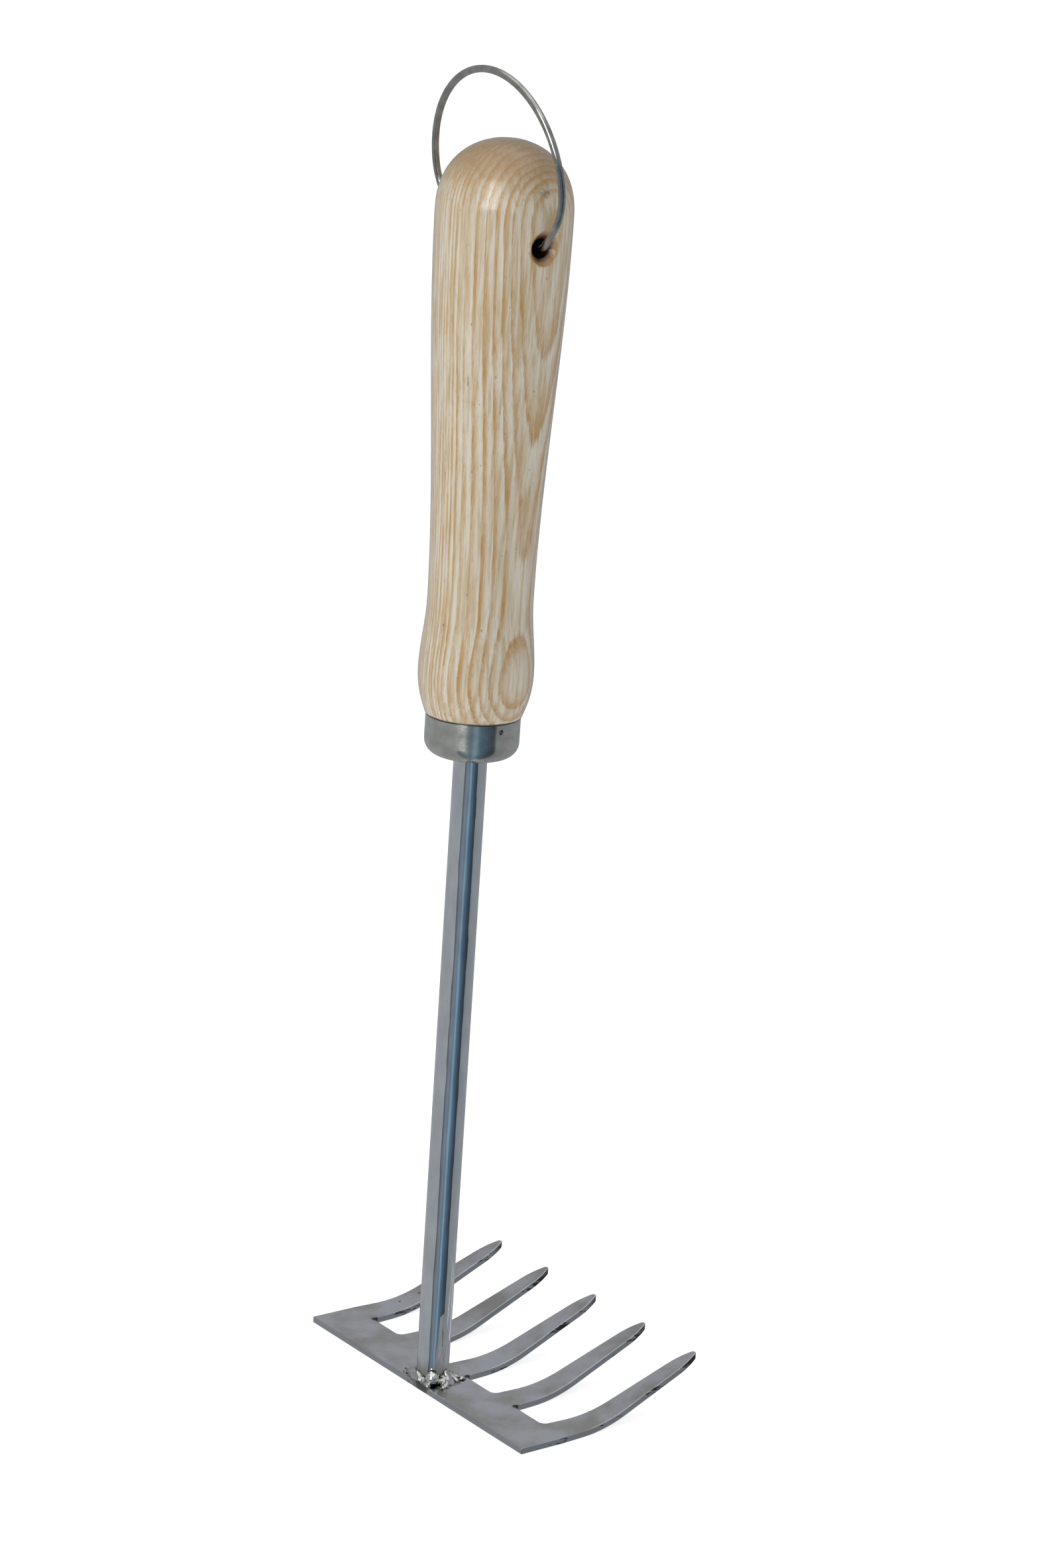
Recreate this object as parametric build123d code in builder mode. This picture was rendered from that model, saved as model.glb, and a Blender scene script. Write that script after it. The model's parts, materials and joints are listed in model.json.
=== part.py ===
from build123d import *
import math
import os

# Hand rake with a turned wooden handle, a wire bail to hang it by, a cup-shaped steel ferrule,
# a round steel shaft and a five-tine head cut from one sheet and bent upwards.
# +Z runs up the shaft, +X is the way the tines point, +Y is across the head.
# The origin is on the shaft's axis at the underside of the head. All sizes are in millimetres.

# ---- Head ----
head_width = 110.0
sheet_thickness = 2.0
tine_count = 5
tine_root_width = 10.6
tine_shoulder_width = 5.6
tine_point_length = 9.6
tine_nose_radius = 1.1
back_margin = 6.9            # from the shaft's axis to the head's back edge
flat_length = 23.5           # from the back edge to the start of the bend
bend_radius = 44.5           # at the upper face, inside the bend
bend_angle = 21.0
straight_length = 33.3       # from the end of the bend to the tine's point
gap_root = 15.8              # from the back edge to the roots of the gaps
gap_corner_radius = 2.0
sheet_edge_radius = 0.3

# ---- Shaft and weld ----
shaft_diameter = 10.0
shaft_free_length = 198.0    # from the head's upper face to the ferrule's underside
tang_length = 70.0           # the part of the shaft inside the ferrule and the handle
tang_chamfer = 1.0
weld_leg = 3.4
weld_height = 4.0
weld_hollow = 0.4            # where the bead's hollow face crosses its middle, 0.5 being flat
weld_setback = 0.4           # from the head's back edge to the bead
spatter_radius = 2.1
spatter_angle = -127.0       # about the shaft, from +X
spatter_offset = 1.2         # from the shaft's surface to the ball's centre
spatter_height = 1.9         # from the head's upper face to the ball's centre

# ---- Ferrule and its pin ----
ferrule_diameter = 28.0
ferrule_length = 12.5
ferrule_wall = 1.2
ferrule_corner_radius = 4.5
ferrule_rim_radius = 0.4
pin_diameter = 1.5
pin_depth = 2.5              # from the ferrule's top rim down to the pin
pin_recess = 0.3             # the pin's head below the ferrule's surface

# ---- Handle ----
handle_length = 167.0        # from the ferrule's top rim to the end of the dome
neck_overhang = 0.3          # how far the wood stands out over the ferrule's rim
bulb_diameter = 33.9
bulb_height = 12.7
waist_diameter = 30.9
waist_height = 34.5
widest_diameter = 39.5
dome_length = 20.5           # from the widest place to the flat at the end
dome_fullness = 0.73         # how far the dome's middle point stands out, 1 being a square corner
dome_flat_diameter = 8.0

# ---- Bail and its hole ----
bail_hole_drop = 28.2        # from the end of the dome down to the hole's axis
countersink_width = 2.1      # the countersink's rim round the hole
countersink_depth = 2.1
wire_diameter = 2.1
wire_play = 1.85             # between the wire and the hole's wall, on the radius
loop_side_gap = 9.95         # from the handle's widest place to the middle of the wire
loop_height = 18.7           # from the hole's axis to the loop's centre
shoulder_radius = 18.0       # where the loop turns in towards the handle
shoulder_turn = 43.0
end_bend_radius = 4.0
wire_end_reach = 9.0         # from the handle's axis to the wire's ends, inside the hole
bail_lean = 10.0             # at rest, away from the tines

# ---- Clearances ----
press_gap = 0.03             # glued and driven fits, on the radius
tang_end_gap = 2.0

# ---- Places worked out from the sizes above ----
shaft_radius = shaft_diameter / 2
ferrule_base = sheet_thickness + shaft_free_length
ferrule_top = ferrule_base + ferrule_length
ferrule_radius = ferrule_diameter / 2
tenon_radius = ferrule_radius - ferrule_wall - press_gap
tenon_base = ferrule_base + ferrule_wall + press_gap
tenon_corner_radius = ferrule_corner_radius - ferrule_wall
shaft_end = ferrule_base + tang_length
handle_top = ferrule_top + handle_length
bail_axis_height = handle_top - bail_hole_drop
tine_pitch = (head_width - tine_root_width) / (tine_count - 1)
back_edge = -back_margin
bend_start = back_edge + flat_length
root_line = back_edge + gap_root
bend_radians = math.radians(bend_angle)
tip_reach = bend_start + bend_radius * math.sin(bend_radians) + straight_length * math.cos(bend_radians)
shoulder_line = tip_reach - tine_point_length

# ---- Head: one bent sheet, cut to its outline ----
with BuildSketch() as tine_outline:
    # One tine from above, with its root on the back edge and its point on +X.
    with BuildLine():
        side = Line((back_edge, tine_root_width / 2), (root_line, tine_root_width / 2))
        taper = Line(side @ 1, (shoulder_line, tine_shoulder_width / 2))
        TangentArc(taper @ 1, (tip_reach, 0), tangent=taper % 1)
        mirror(about=Plane.XZ)
        Line(side @ 0, (back_edge, -tine_root_width / 2))
    make_face()
    fillet(tine_outline.vertices().sort_by(Axis.X)[-1], tine_nose_radius)

with BuildPart() as rake_head:
    # The bent sheet, seen from the side and drawn out across the whole width.
    with BuildSketch(Plane.XZ.offset(-head_width / 2)):
        with BuildLine():
            top_flat = Line((back_edge, sheet_thickness), (bend_start, sheet_thickness))
            top_bend = JernArc(top_flat @ 1, (1, 0), bend_radius, bend_angle)
            top_slope = PolarLine(top_bend @ 1, straight_length, bend_angle)
            tip_end = PolarLine(top_slope @ 1, sheet_thickness, bend_angle - 90)
            under_slope = PolarLine(tip_end @ 1, straight_length, bend_angle + 180)
            under_bend = RadiusArc(under_slope @ 1, (bend_start, 0), bend_radius + sheet_thickness)
            Polyline(under_bend @ 1, (back_edge, 0), top_flat @ 0)
        make_face()
    extrude(amount=head_width)
    # The outline from above, a bar with tines, cut down through the bent sheet.
    with BuildSketch() as head_outline:
        with Locations((back_edge, 0)):
            Rectangle(gap_root, head_width, align=(Align.MIN, Align.CENTER))
        with GridLocations(0, tine_pitch, 1, tine_count):
            add(tine_outline.sketch)
        inner_root_reach = (head_width - tine_root_width) / 2
        root_corners = [
            v for v in head_outline.vertices()
            if abs(v.X - root_line) < 0.01 and abs(v.Y) < inner_root_reach
        ]
        fillet(root_corners, gap_corner_radius)
    extrude(amount=head_width, mode=Mode.INTERSECT)
    fillet(rake_head.edges(), sheet_edge_radius)
rake_head.part.label = "rake_head"

# ---- Shaft: a round rod, welded on the head and let into the handle ----
with BuildPart() as shaft:
    with BuildSketch(Plane.XY.offset(sheet_thickness)):
        Circle(shaft_radius)
    extrude(amount=shaft_end - sheet_thickness)
    chamfer(shaft.edges().sort_by(Axis.Z)[-1], tang_chamfer)
shaft.part.label = "shaft"

# ---- Weld: a bead round the foot of the shaft, with one ball of spatter in it ----
spatter_reach = shaft_radius + spatter_offset
spatter_radians = math.radians(spatter_angle)
spatter_x = spatter_reach * math.cos(spatter_radians)
spatter_y = spatter_reach * math.sin(spatter_radians)

with BuildPart() as weld_bead:
    with BuildSketch(Plane.XZ):
        with BuildLine():
            bead_face = ThreePointArc(
                (shaft_radius + weld_leg, sheet_thickness),
                (shaft_radius + weld_hollow * weld_leg, sheet_thickness + weld_hollow * weld_height),
                (shaft_radius, sheet_thickness + weld_height),
            )
            Polyline(bead_face @ 1, (shaft_radius, sheet_thickness), bead_face @ 0)
        make_face()
    revolve(axis=Axis.Z)
    with Locations((spatter_x, spatter_y, sheet_thickness + spatter_height)):
        Sphere(spatter_radius)
    # What would stand in the shaft, under the sheet or past its back edge is cut away.
    with BuildSketch(Plane.XY.offset(sheet_thickness)):
        Circle(shaft_radius)
    extrude(amount=2 * weld_height, mode=Mode.SUBTRACT)
    split(bisect_by=Plane.XY.offset(sheet_thickness), keep=Keep.TOP)
    split(bisect_by=Plane.YZ.offset(back_edge + weld_setback), keep=Keep.TOP)
weld_bead.part.label = "weld_bead"

# ---- Ferrule: a steel cup with a hole for the shaft in its floor ----
pin_height = ferrule_top - pin_depth
pin_outer_end = ferrule_radius - pin_recess
pin_inner_end = shaft_radius + 2 * press_gap
pin_hole_radius = pin_diameter / 2 + press_gap

with BuildPart() as ferrule:
    with BuildSketch(Plane.XY.offset(ferrule_base)):
        Circle(ferrule_radius)
    extrude(amount=ferrule_length)
    fillet(ferrule.edges().sort_by(Axis.Z)[0], ferrule_corner_radius)
    offset(amount=-ferrule_wall, openings=ferrule.faces().sort_by(Axis.Z)[-1])
    fillet(ferrule.edges().group_by(Axis.Z)[-1], ferrule_rim_radius)
    with BuildSketch(Plane.XY.offset(ferrule_base)):
        Circle(shaft_radius + press_gap)
    extrude(amount=ferrule_length, mode=Mode.SUBTRACT)
    with BuildSketch(Plane.XZ.offset(pin_inner_end)):
        with Locations((0, pin_height)):
            Circle(pin_hole_radius)
    extrude(amount=ferrule_radius, mode=Mode.SUBTRACT)
ferrule.part.label = "ferrule"

with BuildPart() as ferrule_pin:
    with BuildSketch(Plane.XZ.offset(pin_inner_end + press_gap)):
        with Locations((0, pin_height)):
            Circle(pin_diameter / 2)
    extrude(amount=pin_outer_end - pin_inner_end - press_gap)
ferrule_pin.part.label = "ferrule_pin"

# ---- Handle: a turned profile with a tenon for the ferrule and a domed end ----
bulb_point = (bulb_diameter / 2, ferrule_top + bulb_height)
waist_point = (waist_diameter / 2, ferrule_top + waist_height)
widest_radius = widest_diameter / 2
widest_point = (widest_radius, handle_top - dome_length)
dome_point = (dome_fullness * widest_radius, widest_point[1] + dome_fullness * dome_length)
dome_flat_point = (dome_flat_diameter / 2, handle_top)
bore_radius = shaft_radius + press_gap
bore_end = shaft_end + tang_end_gap
bail_hole_radius = wire_diameter / 2 + wire_play

with BuildPart() as handle:
    with BuildSketch(Plane.XZ):
        with BuildLine():
            tenon = Polyline((0, tenon_base), (tenon_radius, tenon_base), (tenon_radius, ferrule_top))
            neck = Line(tenon @ 1, (ferrule_radius + neck_overhang, ferrule_top))
            Spline(neck @ 1, bulb_point, tangents=((0.4, 1), (0, 1)))
            Spline(bulb_point, waist_point, tangents=((0, 1), (0, 1)))
            Spline(waist_point, widest_point, tangents=((0, 1), (0, 1)))
            Spline(widest_point, dome_point, dome_flat_point, tangents=((0, 1), (-1, 0.2)))
            Polyline(dome_flat_point, (0, handle_top), tenon @ 0)
        make_face()
    revolve(axis=Axis.Z)
    tenon_edge = handle.edges().filter_by(GeomType.CIRCLE).sort_by(Axis.Z)[0]
    fillet(tenon_edge, tenon_corner_radius)
    # The bore for the tang, the pin's hole, and the bail's hole with a countersink at each end.
    with BuildSketch(Plane.XY.offset(tenon_base)):
        Circle(bore_radius)
    extrude(amount=bore_end - tenon_base, mode=Mode.SUBTRACT)
    with BuildSketch(Plane.XZ.offset(pin_inner_end)):
        with Locations((0, pin_height)):
            Circle(pin_hole_radius)
    extrude(amount=ferrule_radius, mode=Mode.SUBTRACT)
    with BuildSketch(Plane.XY.offset(bail_axis_height)):
        with BuildLine():
            right_rim = (bail_hole_radius + countersink_width, -widest_radius)
            right_throat = (bail_hole_radius, countersink_depth - widest_radius)
            Polyline((0, -widest_radius), right_rim, right_throat, (bail_hole_radius, 0))
            mirror(about=Plane.XZ)
            Line((0, -widest_radius), (0, widest_radius))
        make_face()
    revolve(axis=Axis((0, 0, bail_axis_height), (0, 1, 0)), mode=Mode.SUBTRACT)
handle.part.label = "handle"

# ---- Bail: a wire loop whose two ends sit loosely in the handle's hole ----
loop_radius = widest_radius + loop_side_gap
lean = math.radians(bail_lean)
bail_plane = Plane((0, 0, bail_axis_height), x_dir=(0, 1, 0), z_dir=(math.cos(lean), 0, math.sin(lean)))

with BuildPart() as bail:
    with BuildLine(bail_plane) as bail_path:
        CenterArc((0, loop_height), loop_radius, 0, 90)
        shoulder = CenterArc(
            (loop_radius - shoulder_radius, loop_height), shoulder_radius, 0, -shoulder_turn
        )
        foot = bail_plane.to_local_coords(shoulder @ 1)
        turn = math.radians(shoulder_turn)
        entry = (foot.X - foot.Y * math.tan(turn), 0)
        FilletPolyline((foot.X, foot.Y), entry, (wire_end_reach, 0), radius=end_bend_radius)
        mirror(about=Plane(bail_plane.origin, z_dir=bail_plane.x_dir))
    with BuildSketch(Plane(bail_path.line @ 0, z_dir=bail_path.line % 0)):
        Circle(wire_diameter / 2)
    sweep(path=bail_path.line)
bail.part.label = "bail"

# ---- Files ----
os.makedirs("parts", exist_ok=True)
export_step(rake_head.part, "parts/rake_head.step")
export_step(weld_bead.part, "parts/weld_bead.step")
export_step(shaft.part, "parts/shaft.step")
export_step(ferrule.part, "parts/ferrule.step")
export_step(ferrule_pin.part, "parts/ferrule_pin.step")
export_step(handle.part, "parts/handle.step")
export_step(bail.part, "parts/bail.step")
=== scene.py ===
import json
import math
import random

import bmesh
import bpy
from mathutils import Matrix, Vector


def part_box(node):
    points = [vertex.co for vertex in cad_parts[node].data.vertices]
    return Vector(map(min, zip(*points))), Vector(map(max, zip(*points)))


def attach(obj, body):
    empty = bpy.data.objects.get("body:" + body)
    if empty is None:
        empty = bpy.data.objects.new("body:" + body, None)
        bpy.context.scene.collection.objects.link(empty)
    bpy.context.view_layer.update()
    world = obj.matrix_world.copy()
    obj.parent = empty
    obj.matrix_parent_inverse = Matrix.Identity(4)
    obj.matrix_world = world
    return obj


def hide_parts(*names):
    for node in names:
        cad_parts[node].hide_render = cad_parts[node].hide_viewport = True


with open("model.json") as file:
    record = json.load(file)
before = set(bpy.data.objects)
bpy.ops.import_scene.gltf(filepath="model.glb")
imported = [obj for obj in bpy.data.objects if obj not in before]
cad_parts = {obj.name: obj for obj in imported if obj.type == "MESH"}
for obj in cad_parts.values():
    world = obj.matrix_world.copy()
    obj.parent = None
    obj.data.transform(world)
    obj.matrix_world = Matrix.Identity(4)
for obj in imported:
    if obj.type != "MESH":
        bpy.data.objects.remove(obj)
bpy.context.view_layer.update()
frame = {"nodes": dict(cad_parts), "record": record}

# The looks of the hand rake: its materials, the sculpted weld, the floor, the camera and the light.
# Lengths are in metres, as in the frame, except where a name ends in _mm.
MM = 0.001

# ---- Places read from the frame ----
head_low, head_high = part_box("rake_head")
shaft_low, shaft_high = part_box("shaft")
ferrule_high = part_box("ferrule")[1]
handle_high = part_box("handle")[1]
bail_joint = frame["record"]["behaviour"]["joints"][0]

plate_top_mm = shaft_low[2] / MM
back_edge_mm = head_low[0] / MM
tine_tip_mm = head_high[0] / MM
head_width_mm = (head_high[1] - head_low[1]) / MM
shaft_radius_mm = (shaft_high[0] - shaft_low[0]) / 2 / MM
seam_height_mm = ferrule_high[2] / MM
handle_top_mm = handle_high[2] / MM
hole_height_mm = bail_joint["pos_m"][2] / MM

# Sizes of the head and of the bail's hole, as the part has them.
tine_count = 5
tine_root_width_mm = 10.6
gap_root_mm = 15.8
hole_radius_mm = 2.9
countersink_radius_mm = 5.0
dome_flat_radius_mm = 4.0

# The ball of spatter on the weld, from the foot of the shaft on the head's upper face.
ball_place_mm = (-3.7, -4.95, 1.9)
ball_radius_mm = 2.1


# ---- Short names for building nodes ----
class Graph:
    """The nodes of a new material or world. Its methods take sockets or numbers and return sockets."""

    def __init__(self, owner, shader="Principled BSDF"):
        owner.use_nodes = True
        self.owner = owner
        self.tree = owner.node_tree
        self.shader = self.tree.nodes[shader]

    def node(self, kind, **settings):
        made = self.tree.nodes.new(kind)
        for key, value in settings.items():
            setattr(made, key, value)
        return made

    def feed(self, socket, value):
        if isinstance(value, bpy.types.NodeSocket):
            self.tree.links.new(value, socket)
        elif socket.type == "RGBA":
            socket.default_value = (*value, 1.0)
        else:
            socket.default_value = value

    def set(self, **values):
        """Sets inputs of the shader, as in set(Base_Color=colour)."""
        for key, value in values.items():
            self.feed(self.shader.inputs[key.replace("_", " ")], value)

    def math(self, operation, a, b=0.0, c=0.0):
        made = self.node("ShaderNodeMath", operation=operation)
        for socket, value in zip(made.inputs, (a, b, c)):
            self.feed(socket, value)
        return made.outputs[0]

    def add(self, a, b):
        return self.math("ADD", a, b)

    def times(self, a, b):
        return self.math("MULTIPLY", a, b)

    def point_mm(self):
        """The point on the surface, in the object's own axes, in millimetres."""
        source = self.node("ShaderNodeTexCoord").outputs["Object"]
        made = self.node("ShaderNodeVectorMath", operation="SCALE")
        self.feed(made.inputs[0], source)
        made.inputs["Scale"].default_value = 1 / MM
        return made.outputs[0]

    def normal(self):
        """The surface's normal, as its x, y and z."""
        return self.split(self.node("ShaderNodeNewGeometry").outputs["Normal"])

    def split(self, vector):
        made = self.node("ShaderNodeSeparateXYZ")
        self.feed(made.inputs[0], vector)
        return made.outputs

    def stretched(self, vector, x, y, z):
        made = self.node("ShaderNodeVectorMath", operation="MULTIPLY")
        self.feed(made.inputs[0], vector)
        made.inputs[1].default_value = (x, y, z)
        return made.outputs[0]

    def noise(self, vector, scale=1.0, detail=3.0, roughness=0.5):
        """Noise about zero, from about -0.5 to 0.5."""
        made = self.node("ShaderNodeTexNoise")
        self.feed(made.inputs["Vector"], vector)
        made.inputs["Scale"].default_value = scale
        made.inputs["Detail"].default_value = detail
        made.inputs["Roughness"].default_value = roughness
        return self.math("SUBTRACT", made.outputs[0], 0.5)

    def random_of(self, value):
        made = self.node("ShaderNodeTexWhiteNoise", noise_dimensions="1D")
        self.feed(made.inputs["W"], value)
        return made.outputs["Value"]

    def ramp(self, value, stops):
        """Maps a value through (place, level) stops, where a level is a number or a colour."""
        made = self.node("ShaderNodeValToRGB")
        points = made.color_ramp.elements
        while len(points) < len(stops):
            points.new(0.5)
        for point, (place, level) in zip(points, stops):
            point.position = place
            colour = level if isinstance(level, tuple) else (level, level, level)
            point.color = (*colour, 1.0)
        self.feed(made.inputs[0], value)
        return made.outputs[0]

    def step(self, value, low, high, at_low=0.0, at_high=1.0, curve="SMOOTHSTEP"):
        """Goes from at_low to at_high as the value goes from low to high, and stays level outside."""
        made = self.node("ShaderNodeMapRange", interpolation_type=curve)
        for socket, number in zip(made.inputs, (value, low, high, at_low, at_high)):
            self.feed(socket, number)
        return made.outputs[0]

    def mix(self, factor, a, b, blend="MIX"):
        made = self.node("ShaderNodeMix", data_type="RGBA", blend_type=blend)
        for socket, value in zip((made.inputs[0], made.inputs[6], made.inputs[7]), (factor, a, b)):
            self.feed(socket, value)
        return made.outputs[2]

    def bump(self, height, strength, distance_mm):
        made = self.node("ShaderNodeBump")
        made.inputs["Strength"].default_value = strength
        made.inputs["Distance"].default_value = distance_mm * MM
        self.feed(made.inputs["Height"], height)
        return made.outputs[0]

    def distance_to(self, parts, place):
        """Distance from the point with these parts to a place, leaving out parts that are None."""
        total = 0.0
        for part, value in zip(parts, place):
            if value is not None:
                gap = self.math("SUBTRACT", part, value)
                total = self.math("MULTIPLY_ADD", gap, gap, total)
        return self.math("SQRT", total)


# ---- The handle's wood ----
def growth_rings(g, point, fibre):
    """Rings about a pith outside the handle. Gives their colour, and how porous the wood is."""
    face_azimuth = math.radians(-80)
    pith_distance_mm = 95.0
    ring_width_mm = 1.28
    ring_shift = 0.23
    # Good years made wide rings here: a stretch of the radius with this many rings fewer.
    wide_from_mm, wide_to_mm, rings_fewer = 2.0, 15.0, 3.6
    cream, straw = (0.575, 0.54, 0.46), (0.465, 0.38, 0.25)
    tan, brown = (0.43, 0.24, 0.06), (0.36, 0.17, 0.03)

    pith_x = -pith_distance_mm * math.cos(face_azimuth)
    pith_y = -pith_distance_mm * math.sin(face_azimuth)
    from_pith = g.distance_to(g.split(point), (pith_x, pith_y, None))
    radius = g.math("SUBTRACT", from_pith, pith_distance_mm)
    # The tree grew unevenly: a slow wander, a ripple, and a fray along the fibres.
    wander = g.times(g.noise(g.stretched(point, 1 / 45, 1 / 45, 1 / 110)), 2.0)
    ripple = g.times(g.noise(g.stretched(point, 1 / 8, 1 / 8, 1 / 40)), 0.9)
    radius = g.add(g.add(radius, wander), g.add(ripple, g.times(fibre, 0.42)))
    fewer = g.step(radius, wide_from_mm, wide_to_mm, 0.0, rings_fewer)
    rings = g.math("SUBTRACT", g.times(radius, 1 / ring_width_mm), fewer)
    rings = g.add(rings, ring_shift)
    phase = g.math("FRACT", rings)

    # Rings differ in strength, and each one fades and breaks up along its length.
    strength = g.step(g.random_of(g.math("FLOOR", rings)), 0.0, 1.0, 0.7, 1.1)
    fading = g.noise(g.stretched(point, 0.22, 0.22, 0.06), detail=2.0)
    strength = g.times(strength, g.step(fading, -0.12, 0.12, 0.6, 1.0))
    broken = g.step(fibre, -0.2, 0.12, 0.3, 1.0)
    # Each ring starts at a line of large pores and fades into smooth late wood.
    pore_stops = [(0.0, 0.15), (0.10, 0.95), (0.3, 0.85), (0.5, 0.4), (0.72, 0.05), (1.0, 0.0)]
    line_stops = [(0.0, 0.2), (0.10, 1.0), (0.22, 0.5), (0.38, 0.0), (1.0, 0.0)]
    pores = g.ramp(phase, pore_stops)
    line = g.ramp(phase, line_stops)
    patches = g.noise(g.stretched(point, 0.8, 0.8, 0.04), detail=3.0)
    ground = g.mix(g.step(patches, -0.16, 0.10), straw, cream)
    colour = g.mix(g.times(g.times(pores, strength), broken), ground, tan)
    colour = g.mix(g.times(g.times(line, strength), g.times(broken, 0.6)), colour, brown)
    return colour, pores


def dome_end(g, point, colour):
    """End grain takes more lacquer and hides the figure. The lathe left a ring round the flat end."""
    lacquered, shade = (0.37, 0.235, 0.085), (0.90, 0.80, 0.67)
    ring_colour = (0.2, 0.13, 0.07)
    x, y, z = g.split(point)
    end_grain = g.step(g.normal()[2], 0.12, 0.75)
    colour = g.mix(g.times(end_grain, 0.62), colour, lacquered)
    colour = g.mix(g.times(end_grain, 0.8), colour, shade, "MULTIPLY")
    from_axis = g.distance_to((x, y, z), (0.0, 0.0, None))
    from_ring = g.math("ABSOLUTE", g.math("SUBTRACT", from_axis, dome_flat_radius_mm))
    centre_ring = g.step(from_ring, 0.1, 0.5, 1.0, 0.0)
    centre_ring = g.times(centre_ring, g.step(z, handle_top_mm - 2.0, handle_top_mm - 1.0))
    return g.mix(g.times(centre_ring, 0.35), colour, ring_colour)


def handle_marks(g, point, colour):
    """Dirt at the ferrule, the stain and the rubbed spot at the bail's hole, and painted shade that
    darkens the hole's walls and mouth.
    """
    dirt, stained = (0.10, 0.065, 0.035), (0.36, 0.17, 0.035)
    rubbed, hole_shade_colour = (0.10, 0.075, 0.05), (0.016, 0.006, 0.003)
    rub_place_mm = (-0.3, -18.5, hole_height_mm + 15.5)
    x, y, z = g.split(point)

    uneven = g.add(z, g.times(g.noise(point, 0.4), 0.6))
    seam = g.step(uneven, seam_height_mm + 0.1, seam_height_mm + 0.45, 1.0, 0.0)
    colour = g.mix(g.times(seam, 0.75), colour, dirt)

    from_hole = g.distance_to((x, y, z), (0.0, None, hole_height_mm))
    from_hole = g.add(from_hole, g.times(g.noise(point, 0.5), 2.2))
    stain = g.step(from_hole, countersink_radius_mm - 0.6, countersink_radius_mm + 0.6, 1.0, 0.0)
    colour = g.mix(g.times(stain, 0.75), colour, stained)

    from_rub = g.add(g.distance_to((x, y, z), rub_place_mm), g.times(g.noise(point, 0.9), 5.0))
    colour = g.mix(g.step(from_rub, 0.4, 1.9, 0.55, 0.0), colour, rubbed)

    # Painted shade: the walls and mouth of the hole are painted nearly black, as shade falls inside it.
    darkened = g.step(from_hole, hole_radius_mm + 0.1, hole_radius_mm + 1.2, 1.0, 0.0)
    return g.mix(g.times(darkened, 0.97), colour, hole_shade_colour)


def ash_wood():
    """Pale ash under clear lacquer."""
    pore_colour, speck_colour = (0.15, 0.09, 0.045), (0.07, 0.05, 0.04)
    fine_stops = [(0.26, (0.68, 0.60, 0.50)), (0.45, (0.94, 0.92, 0.88)), (0.60, 1.0)]

    g = Graph(bpy.data.materials.new("ash_wood"))
    point = g.point_mm()
    fibre = g.noise(g.stretched(point, 2.9, 2.9, 0.065), detail=4.0, roughness=0.65)
    colour, pores = growth_rings(g, point, fibre)
    # Fine fibres run through light and dark wood, and open pores show as short dashes.
    fine = g.noise(g.stretched(point, 5.0, 5.0, 0.12), detail=3.0, roughness=0.6)
    colour = g.mix(0.9, colour, g.ramp(g.add(fine, 0.5), fine_stops), "MULTIPLY")
    dash = g.step(g.noise(g.stretched(point, 6.5, 6.5, 0.4), detail=1.0), 0.12, 0.22)
    dash = g.times(dash, g.add(g.times(pores, 0.8), 0.08))
    colour = g.mix(g.times(dash, 0.6), colour, pore_colour)
    speck = g.step(g.noise(g.stretched(point, 1.3, 1.3, 0.5), detail=0.0), 0.34, 0.37)
    colour = g.mix(g.times(speck, 0.6), colour, speck_colour)
    colour = dome_end(g, point, colour)
    colour = handle_marks(g, point, colour)

    grain = g.add(g.times(fibre, 0.8), g.add(g.times(dash, -0.8), g.times(fine, 0.7)))
    relief = g.bump(grain, 0.35, 0.12)
    g.set(Base_Color=colour, Roughness=g.step(fibre, -0.3, 0.3, 0.5, 0.36), Specular_IOR_Level=0.4)
    g.set(Coat_Weight=1.0, Coat_Roughness=0.07, Coat_IOR=1.65)
    g.set(Normal=relief, Coat_Normal=relief)
    return g.owner


# ---- Metals ----
def polished_rod():
    """Mirror-bright rod, a little wavy, with faint drawing lines along it, and browned by the weld."""
    dull, bright = (0.82, 0.83, 0.84), (0.97, 0.97, 0.96)
    browned = (0.36, 0.31, 0.23)

    g = Graph(bpy.data.materials.new("polished_rod"))
    point = g.point_mm()
    lines = g.noise(g.stretched(point, 2.5, 2.5, 0.02), detail=3.0)
    waves = g.noise(g.stretched(point, 0.22, 0.22, 0.035), detail=2.0)
    jitter = g.noise(g.stretched(point, 0.4, 0.4, 0.16), detail=2.0)
    cloud = g.noise(g.stretched(point, 0.3, 0.3, 0.12), detail=4.0)
    colour = g.mix(g.step(cloud, -0.2, 0.3), dull, bright)
    foot = g.add(g.split(point)[2], g.times(cloud, 5.0))
    heat = g.step(foot, plate_top_mm + 2.0, plate_top_mm + 8.0, 0.7, 0.0)
    colour = g.mix(heat, colour, browned)
    g.set(Base_Color=colour, Metallic=1.0, Roughness=g.step(cloud, -0.2, 0.3, 0.02, 0.06))
    height = g.add(g.times(lines, 0.05), g.times(jitter, 0.12))
    g.set(Normal=g.bump(g.add(height, waves), 1.0, 0.2))
    return g.owner


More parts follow.
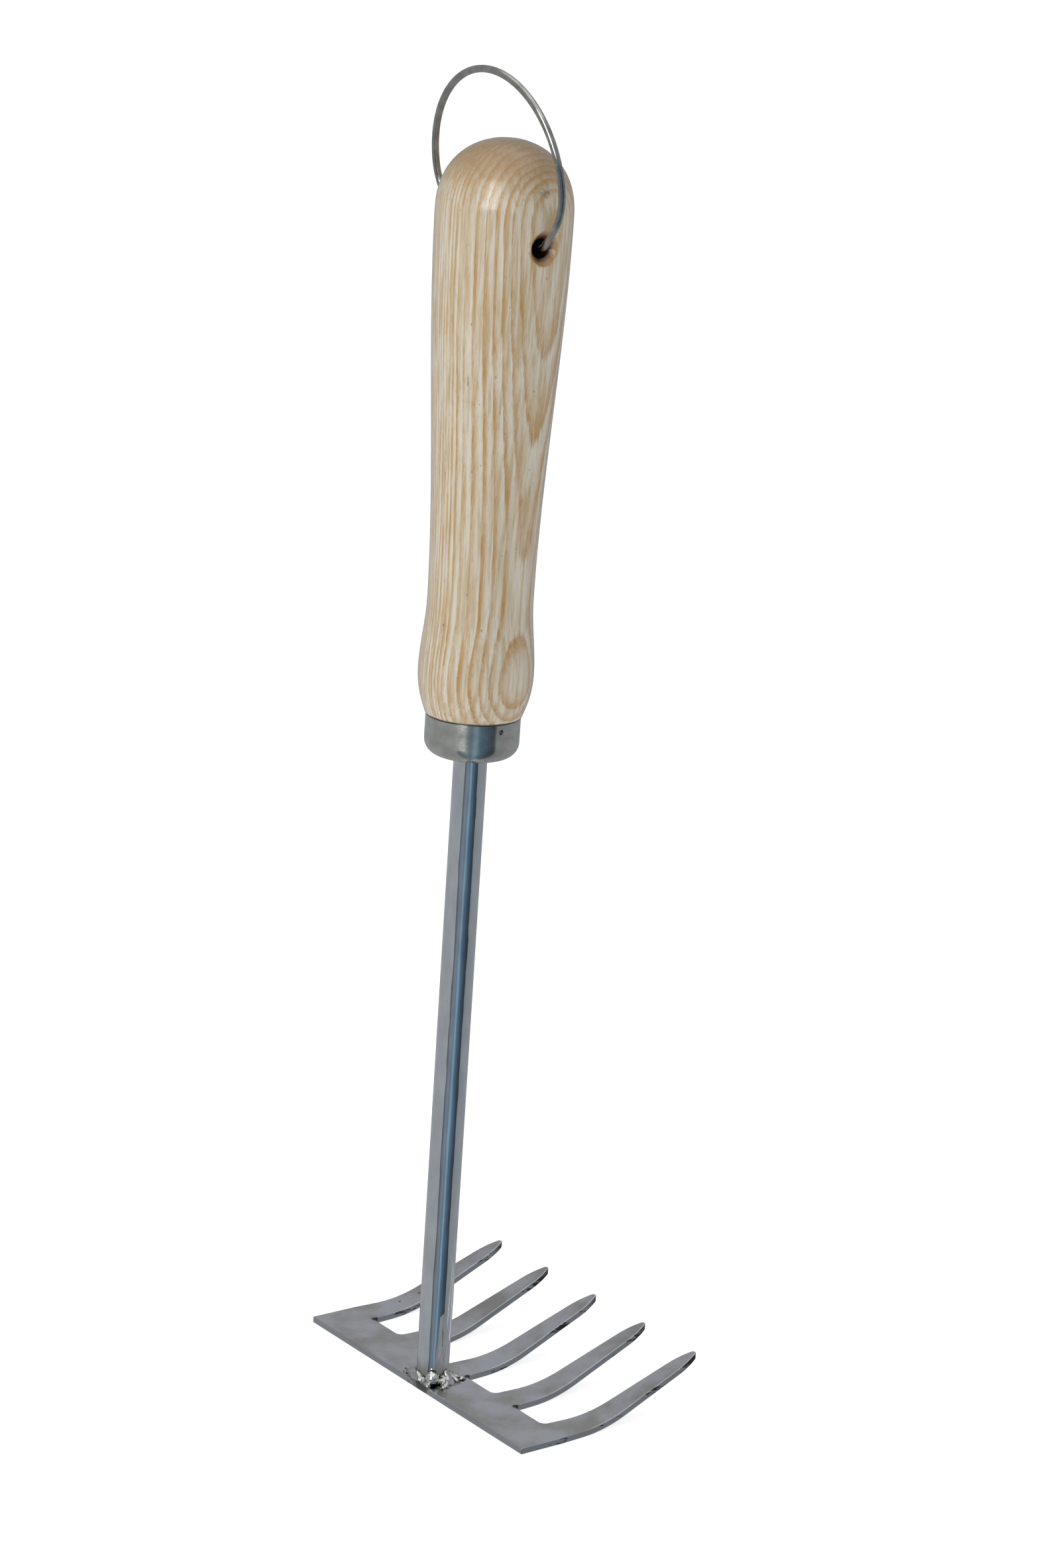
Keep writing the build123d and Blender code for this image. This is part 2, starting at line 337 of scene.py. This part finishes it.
def cut_edges(g, point, colour):
    """Cut faces are a cleaner grey, with dull corners, soot on one side of each tine, and dark tips."""
    cut, corner = (0.90, 0.91, 0.94), (0.22, 0.22, 0.22)
    soot, tip_colour = (0.02, 0.02, 0.02), (0.03, 0.03, 0.035)
    x = g.split(point)[0]
    normal = g.normal()
    steepness = g.math("ABSOLUTE", normal[2])
    upright = g.step(steepness, 0.45, 0.8, 1.0, 0.0)
    colour = g.mix(g.times(upright, 0.6), colour, cut)
    rounded = g.step(steepness, 0.90, 0.97, 1.0, 0.0)
    colour = g.mix(g.times(rounded, 0.35), colour, corner)

    soot_side = g.step(normal[1], -0.3, -0.75)
    patch = g.noise(g.stretched(point, 0.06, 0.07, 0.3), detail=6.0, roughness=0.75)
    sooty = g.step(g.add(patch, g.times(x, 0.0018)), 0.13, 0.18)
    colour = g.mix(g.times(g.times(sooty, soot_side), 0.9), colour, soot)
    tip = g.step(g.add(x, g.times(patch, 6.0)), tine_tip_mm - 6.0, tine_tip_mm - 1.5)
    colour = g.mix(g.times(g.times(tip, upright), 0.75), colour, tip_colour)
    return colour, rounded


def gap_corner_shade(g, point, colour):
    """Painted shade in one corner of each gap, where the corner's curved inner wall lies in shadow, and
    two pin pricks.
    """
    darkened, prick_colour = (0.015, 0.015, 0.015), (0.02, 0.02, 0.02)
    spot_inset_mm = 0.6
    pricks_mm = ((23.5, 50.6), (30.5, 49.9))
    parts = g.split(point)
    pitch_mm = (head_width_mm - tine_root_width_mm) / (tine_count - 1)
    spot_x = back_edge_mm + gap_root_mm + spot_inset_mm
    blotch = g.times(g.noise(point, 0.8), 1.2)
    # Painted shade: a near-black spot in one corner of each gap, where the inner wall is in shadow.
    for gap in range(tine_count - 1):
        tine_side = (gap - (tine_count - 3) / 2) * pitch_mm - tine_root_width_mm / 2
        spot = g.distance_to(parts, (spot_x, tine_side - spot_inset_mm, None))
        colour = g.mix(g.step(g.add(spot, blotch), 0.9, 1.7, 0.95, 0.0), colour, darkened)
    for prick in pricks_mm:
        dot = g.distance_to(parts, (*prick, None))
        colour = g.mix(g.step(dot, 0.25, 0.5, 0.85, 0.0), colour, prick_colour)
    return colour


def scorch_and_reflection(g, point, colour):
    """A dark patch on the plate about the weld: partly heat scorch, and partly a painted reflection of
    the weld and the shaft in the polished plate.
    """
    scorch_and_reflection_centre_mm = (-1.0, -3.0)
    scorch_and_reflection_colour = (0.10, 0.085, 0.065)
    distance = g.distance_to(g.split(point), (*scorch_and_reflection_centre_mm, None))
    distance = g.add(distance, g.times(g.noise(point, 0.35), 7.0))
    return g.mix(g.step(distance, 6.0, 8.5, 0.8, 0.0), colour, scorch_and_reflection_colour)


def polished_sheet():
    """The head: polished sheet, cloudy and lightly scratched."""
    smoky, clear = (0.60, 0.58, 0.54), (0.81, 0.82, 0.85)

    g = Graph(bpy.data.materials.new("polished_sheet"))
    point = g.point_mm()
    cloud = g.noise(g.stretched(point, 0.07, 0.07, 0.07), detail=4.0, roughness=0.55)
    scratches = g.noise(g.stretched(point, 0.25, 5.0, 0.25), detail=3.0)
    colour = g.mix(g.step(cloud, -0.16, 0.12), smoky, clear)
    scratched = g.ramp(g.add(scratches, 0.5), [(0.2, 0.8), (0.7, 1.0)])
    colour = g.mix(0.3, colour, scratched, "MULTIPLY")
    colour, rounded = cut_edges(g, point, colour)
    # Painted shade in a corner of each gap, and two pin pricks.
    colour = gap_corner_shade(g, point, colour)
    # A dark patch about the weld: partly heat scorch, partly painted reflection.
    colour = scorch_and_reflection(g, point, colour)
    rough = g.add(g.step(cloud, -0.2, 0.25, 0.05, 0.13), g.times(rounded, 0.25))
    g.set(Base_Color=colour, Metallic=1.0, Roughness=rough)
    g.set(Normal=g.bump(g.add(g.times(cloud, 0.8), g.times(scratches, 0.2)), 0.25, 0.15))
    return g.owner


def turned_steel():
    """The ferrule: fine turning lines, smeared and a little stained, and dark at its rim."""
    stained, bright, rim_colour = (0.66, 0.64, 0.565), (0.84, 0.825, 0.735), (0.05, 0.045, 0.04)

    g = Graph(bpy.data.materials.new("turned_steel"))
    point = g.point_mm()
    lines = g.noise(g.stretched(point, 0.12, 0.12, 7.0), detail=4.0, roughness=0.6)
    cloud = g.noise(g.stretched(point, 0.2, 0.2, 0.3), detail=4.0)
    colour = g.mix(g.step(cloud, -0.2, 0.25), stained, bright)
    rim = g.step(g.split(point)[2], seam_height_mm - 0.55, seam_height_mm - 0.3)
    colour = g.mix(g.times(rim, 0.9), colour, rim_colour)
    rough = g.add(g.step(cloud, -0.2, 0.3, 0.17, 0.23), g.times(rim, 0.3))
    # The turning lines run round it, so that gloss spreads up and down.
    around = g.node("ShaderNodeTangent", direction_type="RADIAL", axis="Z").outputs[0]
    g.set(Base_Color=colour, Metallic=1.0, Roughness=rough)
    g.set(Anisotropic=0.95, Anisotropic_Rotation=0.25, Tangent=around)
    g.set(Normal=g.bump(g.add(g.times(lines, 0.5), cloud), 0.3, 0.05))
    return g.owner


def bright_wire():
    """The bail: drawn wire, bright and a little clouded."""
    dull, bright = (0.42, 0.41, 0.37), (0.60, 0.59, 0.54)

    g = Graph(bpy.data.materials.new("bright_wire"))
    point = g.point_mm()
    cloud = g.noise(point, 0.35, 4.0)
    g.set(Base_Color=g.mix(g.step(cloud, -0.2, 0.25), dull, bright))
    g.set(Metallic=1.0, Roughness=g.step(cloud, -0.2, 0.3, 0.10, 0.2))
    g.set(Normal=g.bump(g.noise(point, 2.5, 3.0), 0.15, 0.05))
    return g.owner


def weld_metal():
    """Weld metal: bright on its ridges, brightest on the ball, oxidised and dark at its foot, and dark
    and dull in the hollows, partly from oxide and partly from painted shade.
    """
    grey, silver, ball_colour = (0.52, 0.51, 0.48), (0.76, 0.76, 0.75), (0.93, 0.93, 0.91)
    oxide_and_shade_colour = (0.03, 0.025, 0.017)
    hollow_reach_mm = 1.3

    g = Graph(bpy.data.materials.new("weld_metal"))
    point = g.point_mm()
    x, y, z = g.split(point)
    mottle = g.noise(point, 0.9, 4.0, 0.6)
    # The hollows that ambient occlusion finds are darkened: partly oxide, and partly painted shade.
    shelter = g.node("ShaderNodeAmbientOcclusion", samples=8)
    shelter.inputs["Distance"].default_value = hollow_reach_mm * MM
    openness = g.add(shelter.outputs["AO"], g.times(mottle, 0.4))
    hollow_oxide_and_shade = g.step(openness, 0.60, 0.84, 1.0, 0.0)
    low = g.step(g.add(z, g.times(mottle, 1.6)), plate_top_mm, plate_top_mm + 0.6, 1.0, 0.0)
    darkened = g.math("MAXIMUM", g.times(low, 0.6), hollow_oxide_and_shade)

    clean = g.mix(g.step(mottle, -0.12, 0.12), grey, silver)
    ball_x, ball_y, ball_z = ball_place_mm
    from_ball = g.distance_to((x, y, z), (ball_x, ball_y, plate_top_mm + ball_z))
    ball = g.step(from_ball, ball_radius_mm + 0.1, ball_radius_mm + 0.7, 1.0, 0.0)
    clean = g.mix(g.times(ball, 0.8), clean, ball_colour)
    g.set(Base_Color=g.mix(darkened, clean, oxide_and_shade_colour))
    g.set(Metallic=1.0, Roughness=g.step(darkened, 0.0, 1.0, 0.07, 0.4))
    g.set(Normal=g.bump(g.noise(point, 1.1, 3.0), 0.4, 0.22))
    return g.owner


def plain_steel():
    """The pin's head, dull in its hole."""
    worn, grimy = (0.30, 0.29, 0.28), (0.05, 0.045, 0.04)

    g = Graph(bpy.data.materials.new("plain_steel"))
    grime = g.noise(g.point_mm(), 1.5, 4.0)
    g.set(Base_Color=g.mix(g.step(grime, -0.1, 0.3), worn, grimy))
    g.set(Metallic=1.0, Roughness=g.step(grime, -0.2, 0.3, 0.3, 0.6))
    g.set(Normal=g.bump(grime, 0.4, 0.1))
    return g.owner


def dress(node, material):
    mesh = frame["nodes"][node].data
    mesh.materials.clear()
    mesh.materials.append(material)


dress("handle", ash_wood())
dress("shaft", polished_rod())
dress("rake_head", polished_sheet())
dress("ferrule", turned_steel())
dress("ferrule_pin", plain_steel())
dress("bail", bright_wire())


# ---- The weld, sculpted from overlapping beads ----
def sculpted(name, beads, voxel_mm):
    """Melts (x, y, z, radius, flatness) beads, in mm, into one lumpy mesh."""
    melt = bmesh.new()
    for bx, by, bz, radius, flatness in beads:
        size = Matrix.Diagonal((radius * MM, radius * MM, radius * flatness * MM, 1.0))
        place = Matrix.Translation(Vector((bx, by, bz)) * MM) @ size
        bmesh.ops.create_icosphere(melt, subdivisions=3, radius=1.0, matrix=place)
    mesh = bpy.data.meshes.new(name)
    melt.to_mesh(mesh)
    melt.free()
    piece = bpy.data.objects.new(name, mesh)
    bpy.context.scene.collection.objects.link(piece)
    remesh = piece.modifiers.new("melt", "REMESH")
    remesh.mode = "VOXEL"
    remesh.voxel_size = voxel_mm * MM
    flow = piece.modifiers.new("flow", "SMOOTH")
    flow.iterations = 4
    depsgraph = bpy.context.evaluated_depsgraph_get()
    piece.data = bpy.data.meshes.new_from_object(piece.evaluated_get(depsgraph))
    piece.modifiers.clear()
    piece.data.shade_smooth()
    return piece


def ridge(start, end, first_radius, last_radius, flatness=1.0):
    """A run of beads from one (x, y, z) place to another, close enough to melt into one ridge."""
    count = 3 + int(3 * math.dist(start, end))
    beads = []
    for index in range(count):
        share = index / (count - 1)
        place = [a + (b - a) * share for a, b in zip(start, end)]
        beads.append((*place, first_radius + (last_radius - first_radius) * share, flatness))
    return beads


def collar(chance):
    """The collar that the welder laid round the shaft's foot."""
    degrees_apart = 12
    beads = []
    for turn in range(0, 360, degrees_apart):
        angle = math.radians(turn)
        reach = shaft_radius_mm + chance.uniform(0.1, 0.8)
        radius = chance.uniform(1.2, 1.7)
        height = chance.uniform(0.0, 0.6)
        beads.append((reach * math.cos(angle), reach * math.sin(angle), height, radius, 0.9))
    return beads


def left_ridges():
    """Ridges that ran out to the left, along the head."""
    beads = ridge((-1.8, 4.8, 0.9), (-3.4, 8.2, -0.2), 1.5, 1.0, 0.7)
    beads += ridge((-3.4, 3.9, 1.0), (-5.2, 6.2, -0.2), 1.5, 1.2, 0.7)
    beads += ridge((-4.4, 2.2, 1.2), (-5.1, 3.4, -0.1), 1.6, 1.6, 0.7)
    beads += ridge((-4.9, 0.5, 1.5), (-5.2, -1.2, 0.4), 1.4, 1.4, 0.9)
    beads += ridge((-5.2, -2.4, 0.0), (-5.5, -5.4, -0.2), 1.3, 1.2, 0.7)
    return beads


def ball_and_crescent():
    """The bright ball of spatter, and the crescent that curls down beside it."""
    bead_count, first_degrees, degrees_apart = 14, 75, 12
    centre_x, centre_y, crescent_radius = -2.2, -5.9, 2.8
    beads = [(*ball_place_mm, ball_radius_mm, 1.0)]
    for index in range(bead_count):
        angle = math.radians(first_degrees - degrees_apart * index)
        x = centre_x + crescent_radius * math.cos(angle)
        y = centre_y + crescent_radius * math.sin(angle)
        beads.append((x, y, 2.0 - 0.17 * index, 1.0, 1.0))
    return beads


def right_web():
    """The smooth web on the right, and the ridges and the drop beyond it."""
    beads = []
    for share in (0.0, 0.5, 1.0):
        top = (1.2 + 0.7 * share, -4.9 + 0.3 * share, 2.9)
        toe = (1.2 + 1.1 * share, -8.0 + 0.3 * share, -0.5)
        beads += ridge(top, toe, 0.75, 1.0)
    beads += ridge((3.4, -4.2, 1.4), (4.6, -6.9, -0.3), 0.8, 0.9)
    beads += ridge((4.4, -3.3, 0.8), (6.4, -5.6, -0.2), 0.9, 0.8)
    beads += ridge((5.0, -1.0, 0.9), (6.4, -1.6, -0.2), 1.2, 1.1, 0.8)
    beads.append((6.5, -6.5, 0.3, 1.0, 0.9))
    return beads


def drops(chance, count, x_range, y_range, z_range, radius_range):
    """Small drops scattered in a box."""
    beads = []
    for _ in range(count):
        place = (chance.uniform(*x_range), chance.uniform(*y_range), chance.uniform(*z_range))
        beads.append((*place, chance.uniform(*radius_range), 0.8))
    return beads


def make_weld():
    """Places are in mm from the foot of the shaft, on the head's upper face."""
    voxel_mm = 0.18
    chance = random.Random(7)
    beads = collar(chance)
    beads += left_ridges()
    beads += ball_and_crescent()
    beads += right_web()
    beads += drops(chance, 14, (5.4, 8.0), (-6.8, -2.8), (-0.3, 0.0), (0.5, 0.9))
    beads += drops(chance, 7, (-4.5, 0.5), (-9.4, -7.8), (-0.4, -0.1), (0.5, 0.8))
    lifted = [(bx, by, bz + plate_top_mm, radius, flatness) for bx, by, bz, radius, flatness in beads]
    weld = sculpted("weld_bead_lumps", lifted, voxel_mm)
    weld.data.materials.append(weld_metal())
    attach(weld, "tool")
    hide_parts("weld_bead")


make_weld()


# ---- Floor ----
def make_floor():
    """A wide white sweep. It glows a little, so that it stays white where the lamps don't reach."""
    half = 12.0
    level = head_low[2] - 0.05 * MM
    mesh = bpy.data.meshes.new("floor")
    corners = [(-half, -half, level), (half, -half, level), (half, half, level), (-half, half, level)]
    mesh.from_pydata(corners, [], [(0, 1, 2, 3)])
    floor = bpy.data.objects.new("floor", mesh)
    bpy.context.scene.collection.objects.link(floor)
    g = Graph(bpy.data.materials.new("floor"))
    g.set(Base_Color=(0.8, 0.8, 0.8), Roughness=0.9, Specular_IOR_Level=0.0)
    g.set(Emission_Color=(1.0, 1.0, 1.0), Emission_Strength=0.70)
    mesh.materials.append(g.owner)
    floor.visible_glossy = False


make_floor()

# ---- Camera, on the side of the head's back edge and a little above the tool ----
camera_place = Vector((-0.6873, -0.9086, 0.5141))
camera_aim = Vector((0.0117, -0.0091, 0.1918))
camera_roll = math.radians(3.76)

camera = bpy.data.objects.new("camera", bpy.data.cameras.new("camera"))
bpy.context.scene.collection.objects.link(camera)
camera.data.sensor_width = 36.0
camera.data.lens = 92.6
look = (camera_aim - camera_place).to_track_quat("-Z", "Y").to_matrix().to_4x4()
camera.matrix_world = Matrix.Translation(camera_place) @ look @ Matrix.Rotation(camera_roll, 4, "Z")
bpy.context.scene.camera = camera
camera_azimuth = math.atan2(camera_place.y, camera_place.x)


# ---- Light ----
def soft_light(name, turn, rise, distance, size, power):
    """A square soft box, turned about the object from the camera's side, in degrees."""
    azimuth = camera_azimuth + math.radians(turn)
    height = math.radians(rise)
    aim = Vector((0.0, 0.0, 0.2))
    flat = math.cos(height)
    away = Vector((math.cos(azimuth) * flat, math.sin(azimuth) * flat, math.sin(height)))
    light = bpy.data.objects.new(name, bpy.data.lights.new(name, "AREA"))
    bpy.context.scene.collection.objects.link(light)
    light.location = aim + away * distance
    light.rotation_euler = (-away).to_track_quat("-Z", "Y").to_euler()
    light.data.size = size
    light.data.energy = power
    light.visible_glossy = False


soft_light("key", -60, 30, 2.2, 1.4, 23)
soft_light("fill", 20, 40, 2.6, 1.8, 9)

# The colours of the room's walls, by how far round they are. 0.5 is the side that the camera
# stands on, and 1 is a whole turn.
walls = [
    (0.00, (0.34, 0.355, 0.375)),
    (0.11, (0.33, 0.35, 0.375)),
    (0.20, (0.31, 0.325, 0.35)),
    (0.34, (0.30, 0.325, 0.35)),
    (0.403, (0.31, 0.335, 0.36)),
    (0.409, (0.08, 0.09, 0.10)),
    (0.42, (0.10, 0.125, 0.15)),
    (0.435, (0.14, 0.17, 0.205)),
    (0.465, (0.19, 0.23, 0.28)),
    (0.50, (0.13, 0.185, 0.24)),
    (0.53, (0.23, 0.34, 0.45)),
    (0.558, (0.085, 0.155, 0.225)),
    (0.62, (0.045, 0.072, 0.105)),
    (0.664, (0.026, 0.034, 0.042)),
    (0.67, (0.21, 0.24, 0.265)),
    (0.78, (0.25, 0.27, 0.295)),
    (0.86, (0.27, 0.285, 0.31)),
]


def between(g, value, low, high, soft):
    """1 between low and high, and 0 outside, with soft edges."""
    rising = g.step(value, low - soft, low + soft, curve="LINEAR")
    falling = g.step(value, high + soft, high - soft, curve="LINEAR")
    return g.times(rising, falling)


def make_room():
    """The room that polished steel mirrors: walls with a blue and a dark stretch, and a window."""
    upper_wall, ceiling = (0.33, 0.34, 0.36), (0.9, 0.92, 0.95)
    window_light = (4.6, 4.7, 4.8)
    even_light, white = (0.42, 0.42, 0.42), (1.0, 1.0, 1.0)
    whole_turn = 2 * math.pi

    g = Graph(bpy.data.worlds.new("room"), "Background")
    bpy.context.scene.world = g.owner
    dx, dy, dz = g.split(g.node("ShaderNodeTexCoord").outputs["Generated"])
    azimuth = g.math("ARCTAN2", dy, dx)
    turned = g.add(g.times(azimuth, 1 / whole_turn), 0.5 - camera_azimuth / whole_turn)
    colour = g.ramp(g.math("FRACT", g.add(turned, 1.0)), walls)
    colour = g.mix(g.step(dz, 0.02, 0.30, curve="LINEAR"), colour, upper_wall)
    colour = g.mix(g.step(dz, 0.78, 0.84, curve="LINEAR"), colour, ceiling)
    window = g.times(between(g, turned, 0.405, 0.465, 0.006), between(g, dz, 0.06, 0.72, 0.02))
    colour = g.mix(window, colour, window_light)
    # Only gloss mirrors the room. The rest is lit by an even grey, and the camera sees white.
    path = g.node("ShaderNodeLightPath")
    colour = g.mix(path.outputs["Is Glossy Ray"], even_light, colour)
    colour = g.mix(path.outputs["Is Camera Ray"], colour, white)
    g.set(Color=colour)


make_room()
bpy.context.scene.view_settings.view_transform = "Standard"
